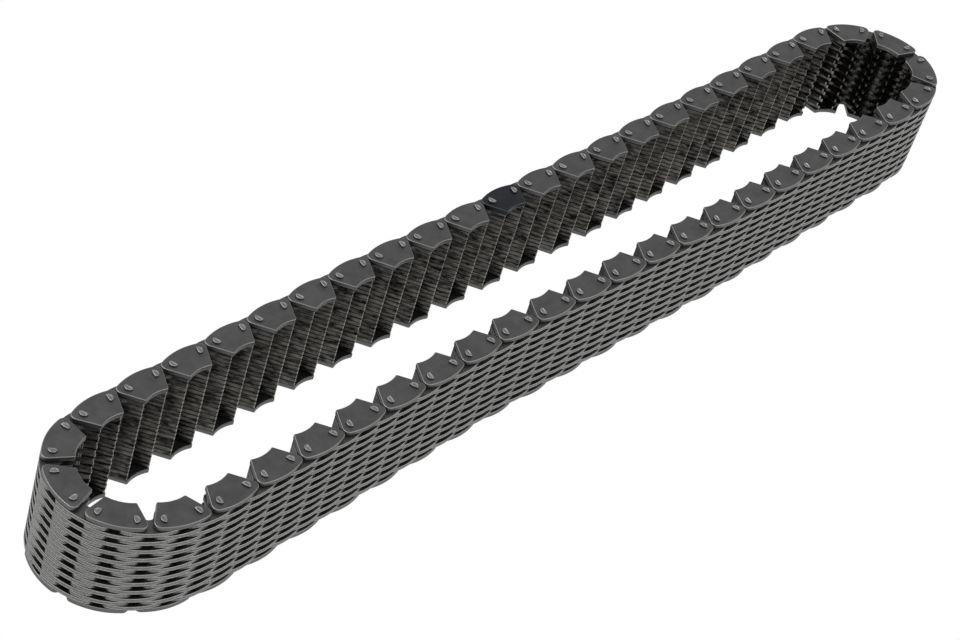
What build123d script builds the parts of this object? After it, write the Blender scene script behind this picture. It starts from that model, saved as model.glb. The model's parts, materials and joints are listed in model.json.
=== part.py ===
"""Silent chain: an endless inverted tooth chain with two rocker pins in every joint.

Millimetres. The chain lies on its edge: X runs along the two strands, +Z is up along the pins,
and the origin is the middle of the loop, level with the lower pin heads.
"""

import os
from math import atan2, cos, degrees, hypot, radians, sin, sqrt, tan

from build123d import *

# Chain
PITCH = 9.525               # 3/8 in between joints
LAYER_COUNT = 21            # plates side by side, guide plates included
PLATE_THICKNESS = 1.71
LAYER_GAP = 0.052           # between plates that lie side by side
END_GAP = 0.48              # between plates that follow each other in one layer

# Outlines of the plates, in their own frame: x along the link, y to the outside of the loop
BACK_HEIGHT = 4.95          # crown of the back above the pitch line
BACK_RADIUS = 25.0
NOSE_RADIUS = 2.0           # of the rounded ends
FLANK_ANGLE = 31.5          # of a tooth flank, from square across the pitch line
GUIDE_DEPTH = 6.24          # of a guide plate's corners below the pitch line
GUIDE_CORNER = 0.5
GUIDE_ARCH = 0.9            # rise of the arc between those corners
TOE_RADIUS = 0.45           # of a toothed plate's two toes, which point at the joints' axes
CROTCH_RADIUS = 2.2         # of the deep arc between them

# Rocker pins: a D with a round back, and a flatter rocking face towards the joint's axis
PIN_RADIUS = 1.35
PIN_OFFSET = 0.66           # of the round back's centre from the joint's axis, along the link
PIN_RISE = 0.9              # of that centre above the pitch line
ROCKER_RADIUS = 5.0
PIN_CORNER = 0.2
PIN_CHAMFER = 0.15          # at a short pin's ends
SEAT_CLEARANCE = 0.03       # of a pin in the plates of its own link
SWING_CLEARANCE = 0.06      # of a pin in the plates of the next link
HEAD_HEIGHT = 0.65           # of a long pin's peened head on a guide plate
HEAD_SPREAD = 0.12          # of that head beyond the pin
HEAD_EDGE = 0.22
DISH_MARGIN = 0.36          # from the head's outline to the punched dish in its middle
DISH_DEPTH = 0.16
SHORT_PIN_GAP = 0.1         # from a short pin's end to the guide plate

# Travel of every joint, in degrees of bend towards the inside of the loop
MOST_BEND = 30.0
MOST_BACK_BEND = 8.0

# Rest shape of one half of the loop; the other half is the same, turned by 180 degrees
STRAND_STRETCHES = (14, 13, 14)                             # links in the stretches of a strand
STRAND_TURNS = (-2.0, 2.0)                                  # at the two joints between them
LEAD_TURNS = (3.0, 5.0)                                     # where a strand runs into a bend
BEND_TURNS = (20.0, 24.0, 25.0, 27.0, 24.0, 19.0, 16.0, 11.0)   # the last one closes the half turn
REAR_HEADING = 180.6                                        # of the rear strand's first stretch
MARKED_LINK = 19                                            # its upper guide plate is the dark one

LAYER_PITCH = PLATE_THICKNESS + LAYER_GAP
PLATES_HEIGHT = LAYER_COUNT * LAYER_PITCH - LAYER_GAP
CHAIN_HEIGHT = PLATES_HEIGHT + 2 * HEAD_HEIGHT
TOP_LAYER = LAYER_COUNT - 1


def layer_height(layer):
    """Underside of the plates in one layer, counted from 0 at the bottom."""
    return HEAD_HEIGHT + layer * LAYER_PITCH


def flank_top():
    """Where the rounded end of a plate runs into its straight flank."""
    nose_x = PITCH - END_GAP / 2 - NOSE_RADIUS
    nose_y = BACK_HEIGHT - BACK_RADIUS + sqrt((BACK_RADIUS - NOSE_RADIUS)**2 - nose_x**2)
    return (
        nose_x + NOSE_RADIUS * cos(radians(FLANK_ANGLE)),
        nose_y - NOSE_RADIUS * sin(radians(FLANK_ANGLE)),
    )


def flank_height(x):
    """Height of the straight flank, or of its continuation, at a distance along the link."""
    top_x, top_y = flank_top()
    return top_y - (top_x - x) / tan(radians(FLANK_ANGLE))


def upper_edge():
    """Right half of every plate's back, and its rounded end, down to the flank."""
    nose_x = PITCH - END_GAP / 2 - NOSE_RADIUS
    spread = nose_x / (BACK_RADIUS - NOSE_RADIUS)
    shoulder_y = BACK_HEIGHT - BACK_RADIUS * (1 - sqrt(1 - spread**2))
    back = RadiusArc((0, BACK_HEIGHT), (BACK_RADIUS * spread, shoulder_y), BACK_RADIUS)
    TangentArc(back @ 1, flank_top(), tangent=back % 1)


def guide_outline():
    """Straight flanks, and a shallow arch from corner to corner instead of teeth."""
    corner_x = flank_top()[0] - (flank_top()[1] + GUIDE_DEPTH) * tan(radians(FLANK_ANGLE))
    corner = (corner_x, -GUIDE_DEPTH)
    arch_radius = (corner_x**2 + GUIDE_ARCH**2) / (2 * GUIDE_ARCH)
    with BuildSketch() as outline:
        with BuildLine():
            upper_edge()
            Line(flank_top(), corner)
            RadiusArc(corner, (0, GUIDE_ARCH - GUIDE_DEPTH), -arch_radius)
            mirror(about=Plane.YZ)
        make_face()
        fillet(outline.vertices().sort_by(Axis.Y)[0:2], GUIDE_CORNER)
    return outline.sketch


def toothed_outline():
    """Two pointed toes, each the same to both sides of its joint, and a deep round crotch."""
    toe = (PITCH / 2, flank_height(PITCH / 2))
    valley = (0, flank_height(PITCH))
    with BuildSketch() as outline:
        with BuildLine():
            upper_edge()
            Line(flank_top(), toe)
            Line(toe, valley)
            mirror(about=Plane.YZ)
        make_face()
        fillet(outline.vertices().sort_by_distance(valley)[0], CROTCH_RADIUS)
        fillet(outline.vertices().sort_by(Axis.Y)[0:2], TOE_RADIUS)
    return outline.sketch


def pin_profile():
    """Section of a rocker pin: the joint's axis is the origin, and its own link lies to the left.

    The rocking face keeps within the sector that stays free when the next link swings.
    """
    upper_limit = 90 - MOST_BEND / 2
    lower_limit = 90 - MOST_BACK_BEND / 2
    direction = radians((upper_limit - lower_limit) / 2)
    half_sector = radians((upper_limit + lower_limit) / 2)
    distance = (ROCKER_RADIUS + SWING_CLEARANCE / 2) / sin(half_sector)
    with BuildSketch() as profile:
        with Locations((PIN_OFFSET, PIN_RISE)):
            Circle(PIN_RADIUS)
        with Locations((distance * cos(direction), distance * sin(direction))):
            Circle(ROCKER_RADIUS, mode=Mode.INTERSECT)
        offset(amount=-PIN_CORNER)
        offset(amount=PIN_CORNER)
    return profile.sketch


def grown(profile, margin):
    """A profile made larger by one margin all round."""
    with BuildSketch() as larger:
        add(profile)
        offset(amount=margin)
    return larger.sketch


def aperture_profile(pin):
    """Hole in a toothed plate: the seat of its own pin, and room for the other pin to swing."""
    swing = hypot(PIN_OFFSET, PIN_RISE)
    start = 180 - degrees(atan2(PIN_RISE, PIN_OFFSET))
    with BuildSketch() as aperture:
        for bend in (-MOST_BACK_BEND, (MOST_BEND - MOST_BACK_BEND) / 2, MOST_BEND):
            direction = radians(start - bend)
            with Locations((swing * cos(direction), swing * sin(direction))):
                Circle(PIN_RADIUS + SWING_CLEARANCE)
        make_hull()
        add(grown(pin, SEAT_CLEARANCE))
    return aperture.sketch


def plate(outline, hole, label):
    """A flat plate with the same hole, mirrored, at both its joints."""
    with BuildPart() as blank:
        with BuildSketch():
            add(outline)
        extrude(amount=PLATE_THICKNESS)
        with BuildSketch():
            with Locations((PITCH / 2, 0)):
                add(hole)
            mirror(about=Plane.YZ)
        extrude(amount=PLATE_THICKNESS, mode=Mode.SUBTRACT)
    blank.part.label = label
    return blank.part.solid()


def long_pin(pin):
    """Pin of a guide link, from end to end of the chain's height, with a peened head on each end."""
    head = grown(pin, HEAD_SPREAD)
    with BuildPart() as rivet:
        with BuildSketch():
            add(head)
        extrude(amount=HEAD_HEIGHT)
        with BuildSketch(Plane.XY.offset(HEAD_HEIGHT)):
            add(pin)
        extrude(amount=PLATES_HEIGHT)
        with BuildSketch(Plane.XY.offset(HEAD_HEIGHT + PLATES_HEIGHT)):
            add(head)
        extrude(amount=HEAD_HEIGHT)
        ends = rivet.faces().filter_by(Axis.Z).sort_by(Axis.Z)
        fillet(ends[0].edges() + ends[-1].edges(), HEAD_EDGE)
        for level, depth in ((0, DISH_DEPTH), (CHAIN_HEIGHT, -DISH_DEPTH)):
            with BuildSketch(Plane.XY.offset(level)):
                add(grown(head, -DISH_MARGIN))
            extrude(amount=depth, taper=45, mode=Mode.SUBTRACT)
    rivet.part.label = "long_pin"
    return rivet.part.solid()


def short_pin(pin):
    """Pin of a plain link, which ends just inside the guide plates."""
    start = layer_height(0) + PLATE_THICKNESS + SHORT_PIN_GAP
    with BuildPart() as rod:
        with BuildSketch(Plane.XY.offset(start)):
            add(pin)
        extrude(amount=CHAIN_HEIGHT - 2 * start)
        ends = rod.faces().filter_by(Axis.Z)
        chamfer(ends.edges(), PIN_CHAMFER)
    rod.part.label = "short_pin"
    return rod.part.solid()


def half_loop_turns():
    """Bend after each link of one half, in walking order; the last closes the half turn."""
    first, second, third = STRAND_STRETCHES
    turns = [0.0] * (first - 1) + [STRAND_TURNS[0]]
    turns += [0.0] * (second - 1) + [STRAND_TURNS[1]]
    turns += [0.0] * (third - 1 - len(LEAD_TURNS)) + list(LEAD_TURNS)
    turns += list(BEND_TURNS)
    return turns + [180.0 - sum(turns)]


def link_places():
    """Middle and heading of each link on the pitch line, walked anticlockwise round the loop."""
    x, y, heading = 0.0, 0.0, REAR_HEADING
    places = []
    for turn in half_loop_turns() * 2:
        step_x = PITCH * cos(radians(heading))
        step_y = PITCH * sin(radians(heading))
        places.append((x + step_x / 2, y + step_y / 2, heading))
        x, y, heading = x + step_x, y + step_y, heading + turn
    middle_x = sum(place[0] for place in places) / len(places)
    middle_y = sum(place[1] for place in places) / len(places)
    return [Location((x - middle_x, y - middle_y, 0), (0, 0, heading + 180)) for x, y, heading in places]


def stiff_stretches():
    """Name and number of links of each stretch that moves as one, in walking order."""
    stretches = []
    for strand, bend in (("rear_strand", "left_bend"), ("front_strand", "right_bend")):
        stretches += [(f"{strand}_{number}", count) for number, count in enumerate(STRAND_STRETCHES, 1)]
        stretches += [(f"{bend}_link_{number}", 1) for number in range(1, len(BEND_TURNS) + 1)]
    return stretches


def is_guide_link(link):
    """Guide links and plain links follow each other in turn."""
    return link % 2 == 1


def stacked(piece, place, layers):
    """Copies of a plate in some layers of one link."""
    return [piece.moved(place * Location((0, 0, layer_height(layer)))) for layer in layers]


def pin_pair(piece, place):
    """One pin at each joint of a link; the second is the first turned over end for end."""
    right = Location((PITCH / 2, 0, 0))
    left = Location((-PITCH / 2, 0, CHAIN_HEIGHT), (0, 180, 0))
    return [piece.moved(place * right), piece.moved(place * left)]


def save(label, pieces):
    """Write one node, a group of separate solids."""
    group = Compound(label=label, children=pieces)
    export_step(group, f"parts/{label}.step")
    print(label, len(pieces))


os.makedirs("parts", exist_ok=True)

pin = pin_profile()
toothed_plate = plate(toothed_outline(), aperture_profile(pin), "toothed_plate")
guide_plate = plate(guide_outline(), grown(pin, SEAT_CLEARANCE), "guide_plate")
guide_link_pin = long_pin(pin)
plain_link_pin = short_pin(pin)
places = link_places()

start = 0
for stretch, link_count in stiff_stretches():
    link_plates, guide_plates, rocker_pins = [], [], []
    for link in range(start, start + link_count):
        place = places[link]
        if is_guide_link(link):
            link_plates += stacked(toothed_plate, place, range(2, TOP_LAYER, 2))
            rocker_pins += pin_pair(guide_link_pin, place)
            lower, upper = stacked(guide_plate, place, (0, TOP_LAYER))
            guide_plates.append(lower)
            if link == MARKED_LINK:
                save("marked_guide_plate", [upper])
            else:
                guide_plates.append(upper)
        else:
            link_plates += stacked(toothed_plate, place, range(1, TOP_LAYER, 2))
            rocker_pins += pin_pair(plain_link_pin, place)
    save(f"{stretch}_link_plates", link_plates)
    save(f"{stretch}_rocker_pins", rocker_pins)
    if guide_plates:
        save(f"{stretch}_guide_plates", guide_plates)
    start += link_count
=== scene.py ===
import json
from math import radians

import bpy
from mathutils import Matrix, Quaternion, Vector

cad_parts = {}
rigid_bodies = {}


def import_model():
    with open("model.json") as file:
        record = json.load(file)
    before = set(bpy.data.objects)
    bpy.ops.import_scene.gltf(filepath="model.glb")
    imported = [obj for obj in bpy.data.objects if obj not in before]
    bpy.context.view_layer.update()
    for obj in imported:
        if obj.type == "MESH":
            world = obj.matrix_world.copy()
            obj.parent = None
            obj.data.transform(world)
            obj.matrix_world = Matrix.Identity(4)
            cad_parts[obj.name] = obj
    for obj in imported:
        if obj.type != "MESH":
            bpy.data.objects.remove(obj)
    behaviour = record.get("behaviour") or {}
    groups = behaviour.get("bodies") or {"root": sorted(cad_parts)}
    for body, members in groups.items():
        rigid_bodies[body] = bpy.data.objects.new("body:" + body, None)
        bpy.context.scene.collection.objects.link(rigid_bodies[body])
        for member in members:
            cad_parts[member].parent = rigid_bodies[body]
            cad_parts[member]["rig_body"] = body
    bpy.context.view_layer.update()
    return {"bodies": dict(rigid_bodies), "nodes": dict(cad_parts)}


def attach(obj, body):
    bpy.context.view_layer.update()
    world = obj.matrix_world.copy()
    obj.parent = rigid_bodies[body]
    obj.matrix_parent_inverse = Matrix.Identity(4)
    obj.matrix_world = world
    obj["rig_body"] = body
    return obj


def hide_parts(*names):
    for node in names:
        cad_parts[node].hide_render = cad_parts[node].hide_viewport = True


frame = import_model()
nodes = frame["nodes"]
mm = 0.001
print("frame loaded:", len(nodes), "nodes")


# small helpers

def hexColour(code):
    # sRGB hex to the linear values that the sockets take
    parts = [int(code[i:i + 2], 16) / 255 for i in (1, 3, 5)]
    linear = [p / 12.92 if p <= 0.04045 else ((p + 0.055) / 1.055) ** 2.4 for p in parts]
    return (*linear, 1.0)


def addNode(tree, kind, settings=None, **links):
    # settings: attributes, or inputs by name or number
    # links: output sockets, by the name of the input they go to or by i and its number
    node = tree.nodes.new(kind)
    for key, value in (settings or {}).items():
        if isinstance(key, int) or key in node.inputs:
            node.inputs[key].default_value = value
        else:
            setattr(node, key, value)
    for key, socket in links.items():
        name = int(key[1:]) if key[0] == "i" and key[1:].isdigit() else key.replace("_", " ")
        tree.links.new(socket, node.inputs[name])
    return node


def deselectAll():
    bpy.ops.object.select_all(action="DESELECT")


def makeActive(obj):
    deselectAll()
    obj.select_set(True)
    bpy.context.view_layer.objects.active = obj


def selectEdges(obj, keys):
    # edit mode, with only the edges selected whose pairs of vertex numbers are given
    makeActive(obj)
    bpy.ops.object.mode_set(mode="EDIT")
    bpy.ops.mesh.select_mode(type="EDGE")
    bpy.ops.mesh.select_all(action="DESELECT")
    bpy.ops.object.mode_set(mode="OBJECT")
    for edge in obj.data.edges:
        edge.select = edge.key in keys
    bpy.ops.object.mode_set(mode="EDIT")


# sizes shared with the frame

chain = {
    "layerPitch": 1.762,     # mm, plate and gap
    "layerGap": 0.052,
    "headHeight": 0.65,      # of the pin heads on the guide plates
    "bendCentre": 189.0,     # mm from the loop's middle to the middle of each bend
}


# where on the chain a point lies, for the materials

def layerRim(tree, coords):
    # 0 in the middle of a plate's thickness, 0.5 at the line between two layers
    parts = addNode(tree, "ShaderNodeSeparateXYZ", Vector=coords)
    lowest = chain["headHeight"] - chain["layerGap"] / 2
    raised = addNode(tree, "ShaderNodeMath", {"operation": "SUBTRACT", 1: lowest * mm},
                     i0=parts.outputs["Z"])
    layers = addNode(tree, "ShaderNodeMath", {"operation": "DIVIDE", 1: chain["layerPitch"] * mm},
                     i0=raised.outputs[0])
    share = addNode(tree, "ShaderNodeMath", {"operation": "FRACT"}, i0=layers.outputs[0])
    centred = addNode(tree, "ShaderNodeMath", {"operation": "SUBTRACT", 1: 0.5}, i0=share.outputs[0])
    away = addNode(tree, "ShaderNodeMath", {"operation": "ABSOLUTE"}, i0=centred.outputs[0])
    return away.outputs[0]


def facingUp(tree):
    # 1 on a face that lies flat, 0 on one that stands upright
    normal = addNode(tree, "ShaderNodeTexCoord").outputs["Normal"]
    parts = addNode(tree, "ShaderNodeSeparateXYZ", Vector=normal)
    up = addNode(tree, "ShaderNodeMath", {"operation": "ABSOLUTE"}, i0=parts.outputs["Z"])
    return up.outputs[0]


def outOfLoop(tree, coords):
    # from the middle line of the loop straight out to the point that is shaded, level
    place = addNode(tree, "ShaderNodeSeparateXYZ", Vector=coords)
    reach = chain["bendCentre"] * mm
    along = addNode(tree, "ShaderNodeClamp", {"Min": -reach, "Max": reach}, Value=place.outputs["X"])
    middle = addNode(tree, "ShaderNodeCombineXYZ", X=along.outputs[0], Z=place.outputs["Z"])
    out = addNode(tree, "ShaderNodeVectorMath", {"operation": "SUBTRACT"}, i0=coords, i1=middle.outputs[0])
    return out.outputs[0]


def facingOut(tree, out):
    # 1 where a face looks straight out of the loop, -1 where it looks straight into it
    outward = addNode(tree, "ShaderNodeVectorMath", {"operation": "NORMALIZE"}, i0=out)
    normal = addNode(tree, "ShaderNodeTexCoord").outputs["Normal"]
    facing = addNode(tree, "ShaderNodeVectorMath", {"operation": "DOT_PRODUCT"},
                     i0=outward.outputs[0], i1=normal)
    return facing.outputs["Value"]


def newMetal(name, look):
    material = bpy.data.materials.new(name)
    material.use_nodes = True
    shader = material.node_tree.nodes["Principled BSDF"]
    shader.inputs["Metallic"].default_value = look["metallic"]
    return material, material.node_tree, shader


# link plates: hardened carbon steel, blanked and tumbled, then oiled

linkPlateLook = {
    "dark": "#5d5d5d", "pale": "#737372",            # backs
    # flanks face into the loop: oil streaks, with painted shade that darkens them nearly to black
    "flankDark": "#131211", "flankPale": "#65625e",
    # flats: painted shade, for the slots between layers where they are seen
    "flat": "#4c4c4b",
    # toes: a painted highlight over the rubbing that they take
    "toe": "#8f8e89",
    # worn rims: a painted highlight over real wear
    "wornSheen": "#c6c6c3",
    # line: painted shade in the crease between two plates
    "line": "#121211",
    "sheenAndWear": 0.7,                                     # how much of the worn colour, a painted highlight over real wear, the rims take
    "speckle": 0.25,                                 # and the backs, in specks
    "patchSize": 6.0,                                # mm, of the oil film
    "speckSize": 0.5,                                # mm, of the specks that blanking leaves on the backs
    "streakSize": 1.6,                               # mm, across the layers
    "streakStretch": 0.32,                           # which makes the streaks 5 mm long
    "grainSize": 0.25,                               # mm, drawn coarser than real tumbling marks, to show
    "grainDepth": 0.02,
    "rimDepth": 0.22,                                # mm, of the rounding at both edges of a plate
    "rough": 0.42,
    "roughLess": 0.06, "roughMore": 0.08,            # with the grain
    "metallic": 1.0,
}

linkPlateLimits = {
    "flat": (0.4, 0.6),                              # facing up
    "side": (0.6, 0.4),
    "inside": (0.25, -0.15),                         # facing out of the loop
    "outside": (-0.15, 0.25),
    "toe": (-0.72, -0.92),
    "near": (22.5 * mm, 22.2 * mm),                  # from the loop's middle line, between toes and crotches
    "wornSheen": (0.24, 0.34),                            # share of a layer's pitch, from the plate's middle
    "line": (0.34, 0.45),
    "slope": (0.5, 0.34),
    "streaks": (0.36, 0.62),                         # of the streaks' noise
    "rubbedAndHighlit": (0.25, 0.5),
    "specks": (0.45, 0.7),                           # of the specks' noise
}


def oiledPlateSteel(name, look, limits):
    # dark satin, with painted shade in the lines between plates, on the flats and on the inward flanks, and
    # painted highlights on the worn rims and the toes
    material, tree, shader = newMetal(name, look)
    coords = addNode(tree, "ShaderNodeTexCoord").outputs["Object"]
    rim = layerRim(tree, coords)
    up = facingUp(tree)
    out = outOfLoop(tree, coords)
    facing = facingOut(tree, out)
    depth = addNode(tree, "ShaderNodeVectorMath", {"operation": "LENGTH"}, i0=out).outputs["Value"]
    patch = addNode(tree, "ShaderNodeTexNoise",
                    {"Scale": 1 / (look["patchSize"] * mm), "Detail": 4.0, "Roughness": 0.6}, Vector=coords)
    speck = addNode(tree, "ShaderNodeTexNoise", {"Scale": 1 / (look["speckSize"] * mm), "Detail": 2.0},
                    Vector=coords)
    stretch = (look["streakStretch"], look["streakStretch"], 1.0)
    stretched = addNode(tree, "ShaderNodeMapping", {"Scale": stretch}, Vector=coords)
    streak = addNode(tree, "ShaderNodeTexNoise",
                     {"Scale": 1 / (look["streakSize"] * mm), "Detail": 3.0, "Roughness": 0.65},
                     Vector=stretched.outputs[0])
    sources = {
        "flat": up, "side": up,
        "inside": facing, "outside": facing, "toe": facing, "near": depth,
        "wornSheen": rim, "line": rim, "slope": rim,
        "streaks": streak.outputs["Fac"], "rubbedAndHighlit": streak.outputs["Fac"], "specks": speck.outputs["Fac"],
    }
    # each mask is 0 at the first of its two limits and 1 at the second
    masks = {}
    for mask, source in sources.items():
        low, high = limits[mask]
        fade = "SMOOTHSTEP" if mask in ("wornSheen", "line", "slope") else "LINEAR"
        settings = {"interpolation_type": fade, "From Min": low, "From Max": high}
        masks[mask] = addNode(tree, "ShaderNodeMapRange", settings, Value=source).outputs[0]
    # how much of each effect shows: the product of its parts, each a mask's name or a number
    shares = {}
    for effect, parts in {
        "specks": ("specks", look["speckle"]),
        "toes": ("toe", "near", "rubbedAndHighlit"),           # toes point into the loop; rubbed, and painted bright as a highlight
        # rims facing out of the loop: a painted highlight over their wear
        "wornSheenRims": ("wornSheen", "outside", look["sheenAndWear"]),
        "lines": ("line", "side"),                   # painted shade in the crease beside the line between two plates
        "slopes": ("slope", "side"),
    }.items():
        share = masks[parts[0]]
        for part in parts[1:]:
            times = addNode(tree, "ShaderNodeMath", {"operation": "MULTIPLY"}, i0=share)
            if part in masks:
                tree.links.new(masks[part], times.inputs[1])
            else:
                times.inputs[1].default_value = part
            share = times.outputs[0]
        shares[effect] = share
    # backs with patches of oil, and flanks with uneven streaks of oil along the layers, darkened with
    # painted shade as they face into the loop
    backs = addNode(tree, "ShaderNodeMix",
                    {"data_type": "RGBA", 6: hexColour(look["dark"]), 7: hexColour(look["pale"])},
                    i0=patch.outputs["Fac"])
    specked = addNode(tree, "ShaderNodeMix", {"data_type": "RGBA", 7: hexColour(look["wornSheen"])},
                      i0=shares["specks"], i6=backs.outputs[2])
    flanks = addNode(tree, "ShaderNodeMix",
                     {"data_type": "RGBA", 6: hexColour(look["flankDark"]), 7: hexColour(look["flankPale"])},
                     i0=masks["streaks"])
    painted = addNode(tree, "ShaderNodeMix", {"data_type": "RGBA"},
                      i0=masks["inside"], i6=specked.outputs[2], i7=flanks.outputs[2])
    # over them toes and worn rims with painted highlights, lines of painted shade, and last the flats, in
    # painted shade as they lie between the plates
    for share, colour in ((shares["toes"], "toe"), (shares["wornSheenRims"], "wornSheen"), (shares["lines"], "line"),
                          (masks["flat"], "flat")):
        painted = addNode(tree, "ShaderNodeMix", {"data_type": "RGBA", 7: hexColour(look[colour])},
                          i0=share, i6=painted.outputs[2])
    tree.links.new(painted.outputs[2], shader.inputs["Base Color"])
    grain = addNode(tree, "ShaderNodeTexNoise", {"Scale": 1 / (look["grainSize"] * mm), "Detail": 2.0},
                    Vector=coords)
    roughLimits = {"To Min": look["rough"] - look["roughLess"], "To Max": look["rough"] + look["roughMore"]}
    rough = addNode(tree, "ShaderNodeMapRange", roughLimits, Value=grain.outputs["Fac"])
    tree.links.new(rough.outputs[0], shader.inputs["Roughness"])
    rounded = addNode(tree, "ShaderNodeBump", {"Strength": 1.0, "Distance": look["rimDepth"] * mm},
                      Height=shares["slopes"])
    fine = addNode(tree, "ShaderNodeBump", {"Strength": 0.5, "Distance": look["grainDepth"] * mm},
                   Height=grain.outputs["Fac"], Normal=rounded.outputs[0])
    tree.links.new(fine.outputs[0], shader.inputs["Normal"])
    return material


# guide plates and pins: steel, blanked or headed, then tumbled, with rubbed rims that carry a painted
# highlight, and sides painted in light and shade

# side colours are painted: lighter than the flats on the plates as light, darker on the pins as shade; worn
# colours are a painted highlight over real wear
guidePlateLook = {"dark": "#484848", "pale": "#525252", "side": "#646463", "wornSheen": "#868685", "sheenAndWear": 0.85,
                  "rough": 0.48, "metallic": 1.0}
markedPlateLook = {"dark": "#202226", "pale": "#28292e", "side": "#303237", "wornSheen": "#55575c", "sheenAndWear": 0.7,
                   "rough": 0.42, "metallic": 1.0}
pinLook = {"dark": "#666666", "pale": "#757575", "side": "#5a5a5a", "wornSheen": "#a8a8a8", "sheenAndWear": 0.45,
           "rough": 0.42, "metallic": 1.0}

tumbling = {
    "patchSize": 5.0,        # mm
    "grainSize": 0.3,        # mm, drawn coarser than real tumbling marks, to show
    "grainDepth": 0.025,
    "roughSpread": 0.07,     # to both sides of a look's own, with the grain
}

tumblingLimits = {
    "patches": (0.35, 0.65),         # of the patches' noise
    "side": (0.5, 0.1),              # facing up
    "offUpright": (0.12, 0.4),
    "offFlat": (0.995, 0.93),
}


def tumbledSteel(name, look):
    # satin flats with faint patches, sides painted in light and shade, and bright rims where the plates have
    # rubbed, brightened further with a painted highlight
    material, tree, shader = newMetal(name, look)
    coords = addNode(tree, "ShaderNodeTexCoord").outputs["Object"]
    up = facingUp(tree)
    patch = addNode(tree, "ShaderNodeTexNoise",
                    {"Scale": 1 / (tumbling["patchSize"] * mm), "Detail": 4.0, "Roughness": 0.6},
                    Vector=coords)
    sources = {"patches": patch.outputs["Fac"], "side": up, "offUpright": up, "offFlat": up}
    masks = {}
    for mask, source in sources.items():
        low, high = tumblingLimits[mask]
        settings = {"From Min": low, "From Max": high}
        masks[mask] = addNode(tree, "ShaderNodeMapRange", settings, Value=source).outputs[0]
    flats = addNode(tree, "ShaderNodeMix",
                    {"data_type": "RGBA", 6: hexColour(look["dark"]), 7: hexColour(look["pale"])},
                    i0=masks["patches"])
    # upright sides take the side colour: painted light on the plates, painted shade on the pins
    sided = addNode(tree, "ShaderNodeMix", {"data_type": "RGBA", 7: hexColour(look["side"])},
                    i0=masks["side"], i6=flats.outputs[2])
    # rims lean, neither flat nor upright; they take the worn colour, a painted highlight over real wear
    leaning = addNode(tree, "ShaderNodeMath", {"operation": "MULTIPLY"},
                      i0=masks["offUpright"], i1=masks["offFlat"])
    wornSheen = addNode(tree, "ShaderNodeMath", {"operation": "MULTIPLY", 1: look["sheenAndWear"]}, i0=leaning.outputs[0])
    rubbedAndHighlit = addNode(tree, "ShaderNodeMix", {"data_type": "RGBA", 7: hexColour(look["wornSheen"])},
                     i0=wornSheen.outputs[0], i6=sided.outputs[2])
    tree.links.new(rubbedAndHighlit.outputs[2], shader.inputs["Base Color"])
    grain = addNode(tree, "ShaderNodeTexNoise", {"Scale": 1 / (tumbling["grainSize"] * mm), "Detail": 3.0},
                    Vector=coords)
    roughLimits = {"To Min": look["rough"] - tumbling["roughSpread"],
                   "To Max": look["rough"] + tumbling["roughSpread"]}
    rough = addNode(tree, "ShaderNodeMapRange", roughLimits, Value=grain.outputs["Fac"])
    tree.links.new(rough.outputs[0], shader.inputs["Roughness"])
    fine = addNode(tree, "ShaderNodeBump", {"Strength": 0.5, "Distance": tumbling["grainDepth"] * mm},
                   Height=grain.outputs["Fac"])
    tree.links.new(fine.outputs[0], shader.inputs["Normal"])
    return material


linkPlateSteel = oiledPlateSteel("oiledPlateSteel", linkPlateLook, linkPlateLimits)
guidePlateSteel = tumbledSteel("tumbledPlateSteel", guidePlateLook)
markedPlateSteel = tumbledSteel("blackenedPlateSteel", markedPlateLook)
pinSteel = tumbledSteel("peenedPinSteel", pinLook)
print("materials made")


# guide plates: the frame's plates, merged to clean solids, with tumbled rims

guidePlateShape = {
    "rim": 0.3,              # mm, rounding of the upper and lower edges
    "segments": 3,
    "seatSpan": 7.0,         # mm, more than a pin seat's width and less than a plate's
    "mergeDistance": 0.001,  # mm
    "dissolveAngle": 0.5,    # degrees
    "smoothAngle": 40,       # degrees
    "flatWeight": 90,        # of the flats in the shading of the rims
    "flatNormal": 0.99,      # upward part of a flat face's normal, at least
    "levelTolerance": 0.01,  # mm
}


def cleanCopy(nodeName, name):
    # a copy of the frame's node, its loose triangles merged and its flat faces made whole
    piece = bpy.data.objects.new(name, nodes[nodeName].data.copy())
    bpy.context.scene.collection.objects.link(piece)
    makeActive(piece)
    bpy.ops.object.mode_set(mode="EDIT")
    bpy.ops.mesh.select_all(action="SELECT")
    bpy.ops.mesh.remove_doubles(threshold=guidePlateShape["mergeDistance"] * mm)
    bpy.ops.mesh.dissolve_limited(angle_limit=radians(guidePlateShape["dissolveAngle"]))
    bpy.ops.object.mode_set(mode="OBJECT")
    return piece


def putInPlace(piece, body, nodeName, material):
    # the finished piece stands for its node, and moves with the node's body
    piece.data.materials.clear()
    piece.data.materials.append(material)
    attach(piece, body)
    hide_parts(nodeName)


def isFlat(face):
    return abs(face.normal.z) > guidePlateShape["flatNormal"]


def rimLoops(mesh):
    # closed loops of the edges between a flat and an upright face
    kinds = {}
    for face in mesh.polygons:
        for key in face.edge_keys:
            kinds.setdefault(key, set()).add(isFlat(face))
    waiting = {key for key, seen in kinds.items() if len(seen) == 2}
    ends = {}
    for key in waiting:
        for vertex in key:
            ends.setdefault(vertex, []).append(key)
    loops = []
    while waiting:
        found = [waiting.pop()]
        loop = set(found)
        while found:
            near = {key for vertex in found.pop() for key in ends[vertex]} & waiting
            waiting -= near
            loop |= near
            found += near
        loops.append(loop)
    return loops


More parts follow.
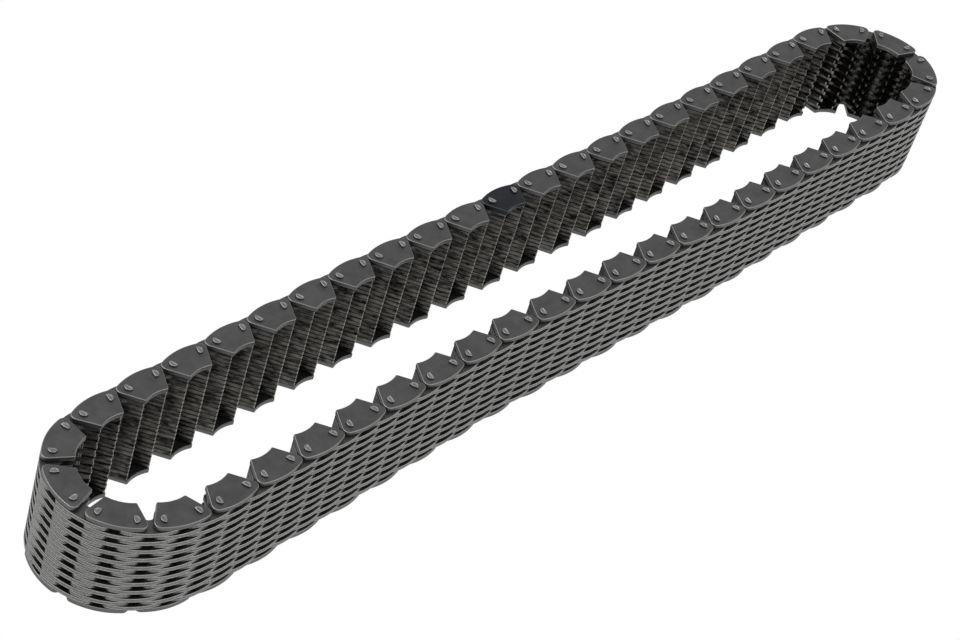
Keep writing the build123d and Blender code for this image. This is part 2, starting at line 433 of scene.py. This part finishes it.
def deleteFlats(piece):
    makeActive(piece)
    bpy.ops.object.mode_set(mode="EDIT")
    bpy.ops.mesh.select_mode(type="FACE")
    bpy.ops.mesh.select_all(action="DESELECT")
    bpy.ops.object.mode_set(mode="OBJECT")
    for face in piece.data.polygons:
        face.select = isFlat(face)
    bpy.ops.object.mode_set(mode="EDIT")
    bpy.ops.mesh.delete(type="FACE")
    bpy.ops.object.mode_set(mode="OBJECT")


def openEdges(mesh, level):
    # the edges at a level, in mm, that have one face
    sides = {}
    for face in mesh.polygons:
        for key in face.edge_keys:
            sides[key] = sides.get(key, 0) + 1
    offLevel = [abs(vertex.co.z / mm - level) for vertex in mesh.vertices]
    return {key for key, count in sides.items()
            if count == 1 and max(offLevel[number] for number in key) < guidePlateShape["levelTolerance"]}


def fillFlats(piece):
    # the flats between rim and pin seats are made anew, plane by plane, as the bevel turns thin slivers over
    levels = {round(face.center.z / mm, 2) for face in piece.data.polygons if isFlat(face)}
    deleteFlats(piece)
    for level in sorted(levels):
        selectEdges(piece, openEdges(piece.data, level))
        bpy.ops.mesh.fill(use_beauty=True)
        bpy.ops.object.mode_set(mode="OBJECT")
    bpy.ops.object.mode_set(mode="EDIT")
    bpy.ops.mesh.select_all(action="SELECT")
    bpy.ops.mesh.normals_make_consistent(inside=False)
    bpy.ops.object.mode_set(mode="OBJECT")


def roundRims(piece):
    # the outlines of each plate's two faces, not the edges of its pin seats
    mesh = piece.data
    outlines = set()
    for loop in rimLoops(mesh):
        spots = [mesh.vertices[number].co for key in loop for number in key]
        if max((spot - spots[0]).length for spot in spots) > guidePlateShape["seatSpan"] * mm:
            outlines |= loop
    selectEdges(piece, outlines)
    bpy.ops.mesh.bevel(offset=guidePlateShape["rim"] * mm, segments=guidePlateShape["segments"],
                       affect="EDGES", clamp_overlap=False, loop_slide=False)
    bpy.ops.object.mode_set(mode="OBJECT")
    fillFlats(piece)
    makeActive(piece)
    bpy.ops.object.shade_smooth_by_angle(angle=radians(guidePlateShape["smoothAngle"]))
    flats = piece.modifiers.new("flatsKeptFlat", "WEIGHTED_NORMAL")
    flats.keep_sharp = True
    flats.weight = guidePlateShape["flatWeight"]
    bpy.ops.object.modifier_apply(modifier=flats.name)


for body in frame["bodies"]:
    for nodeName in [name for name in nodes if name.startswith(body + "_")]:
        if nodeName.endswith("_guide_plates"):
            piece = cleanCopy(nodeName, body + "_tumbledGuidePlates")
            roundRims(piece)
            putInPlace(piece, body, nodeName, guidePlateSteel)
        elif nodeName.endswith("_rocker_pins"):
            nodes[nodeName].data.materials.clear()
            nodes[nodeName].data.materials.append(pinSteel)
        elif nodeName.endswith("_link_plates"):
            nodes[nodeName].data.materials.clear()
            nodes[nodeName].data.materials.append(linkPlateSteel)
markedBody = nodes["marked_guide_plate"]["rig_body"]
markedPlate = cleanCopy("marked_guide_plate", "blackenedGuidePlate")
roundRims(markedPlate)
putInPlace(markedPlate, markedBody, "marked_guide_plate", markedPlateSteel)
print("guide plates made, link plates and pins given their steel")


# floor, background, lights, camera

studio = {
    "floorSize": 6.0,        # metres, as all places here
    "floorDrop": 0.0002,     # below the chain
    "paper": "#bcbcbc",      # the floor itself
    "floorWhite": 1.01,
    "floorShare": 0.985,     # of that white in what the camera sees; the rest is paper, with the shadow
    "key": {"place": (0.3, -1.4, 0.65), "size": 0.7, "power": 5, "aim": (0, 0, 0)},
    "left": {"place": (-1.4, 0.3, 0.65), "size": 0.7, "power": 3, "aim": (0, 0, 0)},
    "top": {"place": (-0.5, 0.8, 1.25), "size": 0.6, "power": 9, "aim": (0, 0, 0)},
    "world": 0.3,            # for rays that neither the camera nor a reflection sends
}


def whiteRays(tree):
    # 1 for what the camera sees straight on, in a reflection or through glass
    ray = addNode(tree, "ShaderNodeLightPath")
    mirrored = addNode(tree, "ShaderNodeMath", {"operation": "MAXIMUM"},
                       i0=ray.outputs["Is Camera Ray"], i1=ray.outputs["Is Glossy Ray"])
    seen = addNode(tree, "ShaderNodeMath", {"operation": "MAXIMUM"},
                   i0=mirrored.outputs[0], i1=ray.outputs["Is Transmission Ray"])
    return seen.outputs[0]


def makeFloor():
    deselectAll()
    bpy.ops.mesh.primitive_plane_add(size=studio["floorSize"], location=(0, 0, -studio["floorDrop"]))
    floor = bpy.context.active_object
    floor.name = "floor"
    bpy.ops.object.transform_apply(location=True, rotation=True, scale=True)
    material = bpy.data.materials.new("whitePaper")
    material.use_nodes = True
    tree = material.node_tree
    tree.nodes.remove(tree.nodes["Principled BSDF"])
    paper = addNode(tree, "ShaderNodeBsdfDiffuse", {"Color": hexColour(studio["paper"])})
    white = addNode(tree, "ShaderNodeEmission", {"Color": (1, 1, 1, 1), "Strength": studio["floorWhite"]})
    share = addNode(tree, "ShaderNodeMath", {"operation": "MULTIPLY", 1: studio["floorShare"]},
                    i0=whiteRays(tree))
    mixed = addNode(tree, "ShaderNodeMixShader",
                    i0=share.outputs[0], i1=paper.outputs[0], i2=white.outputs[0])
    tree.links.new(mixed.outputs[0], tree.nodes["Material Output"].inputs["Surface"])
    floor.data.materials.append(material)


def makeWorld():
    world = bpy.data.worlds.new("whiteRoom")
    bpy.context.scene.world = world
    world.use_nodes = True
    tree = world.node_tree
    background = tree.nodes["Background"]
    background.inputs["Color"].default_value = (1, 1, 1, 1)
    strength = addNode(tree, "ShaderNodeMapRange", {"To Min": studio["world"], "To Max": 1.0},
                       Value=whiteRays(tree))
    tree.links.new(strength.outputs[0], background.inputs["Strength"])


def addSoftbox(name, spec):
    light = bpy.data.lights.new(name, "AREA")
    light.energy = spec["power"]
    light.size = spec["size"]
    lamp = bpy.data.objects.new(name, light)
    bpy.context.scene.collection.objects.link(lamp)
    lamp.location = spec["place"]
    lamp.rotation_euler = (Vector(spec["aim"]) - Vector(spec["place"])).to_track_quat("-Z", "Y").to_euler()


camera = {
    "place": (-0.6497, -0.3558, 0.5981),
    "aim": (-0.0368, -0.0034, 0.019),
    "roll": 18.4,            # degrees, the photograph is tilted
    "lens": 100.94,          # mm
    "sensor": 36.0,          # mm
    "clipStart": 0.01,
}


def makeCamera():
    data = bpy.data.cameras.new("camera")
    data.lens = camera["lens"]
    data.sensor_width = camera["sensor"]
    data.clip_start = camera["clipStart"]
    viewer = bpy.data.objects.new("camera", data)
    bpy.context.scene.collection.objects.link(viewer)
    viewer.location = camera["place"]
    level = (Vector(camera["aim"]) - Vector(camera["place"])).to_track_quat("-Z", "Y")
    viewer.rotation_euler = (level @ Quaternion((0, 0, 1), radians(camera["roll"]))).to_euler()
    bpy.context.scene.camera = viewer


makeFloor()
makeWorld()
addSoftbox("keySoftbox", studio["key"])
addSoftbox("leftSoftbox", studio["left"])
addSoftbox("topSoftbox", studio["top"])
makeCamera()
bpy.context.scene.view_settings.view_transform = "Standard"
print("studio made")
